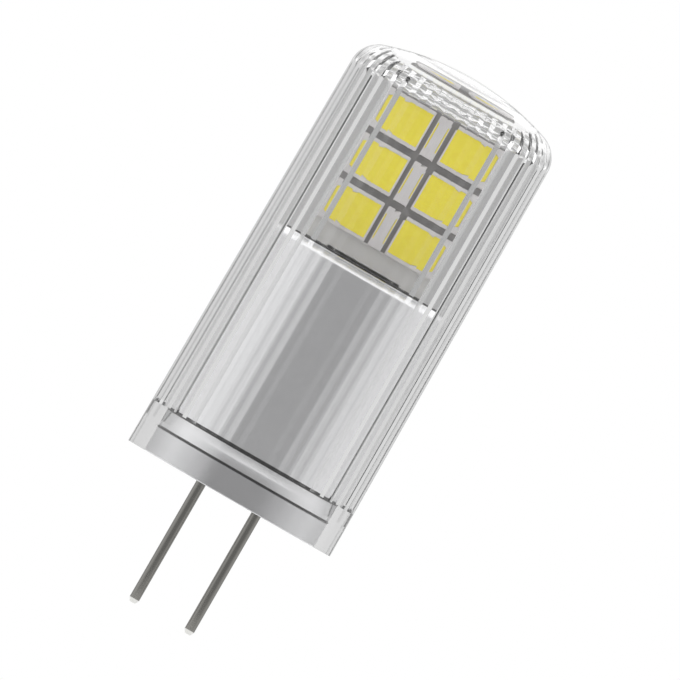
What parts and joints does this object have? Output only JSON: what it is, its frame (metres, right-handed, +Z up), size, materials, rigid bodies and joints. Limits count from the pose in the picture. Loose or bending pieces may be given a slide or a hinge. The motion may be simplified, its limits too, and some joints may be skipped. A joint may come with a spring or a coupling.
{
  "type": "bi-pin led bulb",
  "caption": "Clear bi-pin LED bulb: thick domed jacket with a finely grooved bore, a silvery core sleeve, an upright light board with yellow chips and contact pins below a flat base.",
  "frame": {"origin": "midway between the two contact pins, on the flat bottom face of the base", "axes": "+Z up the lamp's axis from the pins to the dome, +X along the line through the two pins, the light board's front lamps face -Y"},
  "size_m": [0.0146, 0.0146, 0.0393],
  "materials": {
    "jacket": "clear moulded polycarbonate, polished outside, fine grooves inside",
    "base": "silver-grey satin moulding",
    "sleeve": "smooth silvery, semi-gloss",
    "pin": "plated wire, semi-gloss",
    "light_board": "grey coated metal-core board",
    "led_package": "pale lilac-grey moulded frame",
    "phosphor": "yellow phosphor silicone, satin",
    "driver_board": "green coated glass laminate",
    "ferrite": "dark ferrite",
    "ceramic_chip": "tan ceramic with tinned ends",
    "resistor": "black coated chip with tinned ends",
    "black_moulding": "black moulded package with tinned feet",
    "solder": "bright solder"
  },
  "bodies": {
    "root": {"jacket": "jacket", "base_cap": "base", "core_sleeve": "sleeve", "contact_pin_left": "pin", "contact_pin_right": "pin", "led_board": "light_board", "driver_board": "driver_board", "inductor": "ferrite", "filter_capacitor": "ceramic_chip", "driver_chip": "black_moulding", "sense_resistor_1": "resistor", "sense_resistor_2": "resistor", "freewheel_diode": "black_moulding", "bridge_rectifier": "black_moulding", "input_capacitor": "ceramic_chip", "output_capacitor": "ceramic_chip", "pin_solder_left": "solder", "pin_solder_right": "solder", "tab_solder_left": "solder", "tab_solder_right": "solder", "led_front_left_1_package": "led_package", "led_front_left_1_phosphor": "phosphor", "led_front_right_1_package": "led_package", "led_front_right_1_phosphor": "phosphor", "led_front_left_2_package": "led_package", "led_front_left_2_phosphor": "phosphor", "led_front_right_2_package": "led_package", "led_front_right_2_phosphor": "phosphor", "led_front_left_3_package": "led_package", "led_front_left_3_phosphor": "phosphor", "led_front_right_3_package": "led_package", "led_front_right_3_phosphor": "phosphor", "led_back_left_1_package": "led_package", "led_back_left_1_phosphor": "phosphor", "led_back_right_1_package": "led_package", "led_back_right_1_phosphor": "phosphor", "led_back_left_2_package": "led_package", "led_back_left_2_phosphor": "phosphor", "led_back_right_2_package": "led_package", "led_back_right_2_phosphor": "phosphor", "led_back_left_3_package": "led_package", "led_back_left_3_phosphor": "phosphor", "led_back_right_3_package": "led_package", "led_back_right_3_phosphor": "phosphor"}
  },
  "joints": []
}
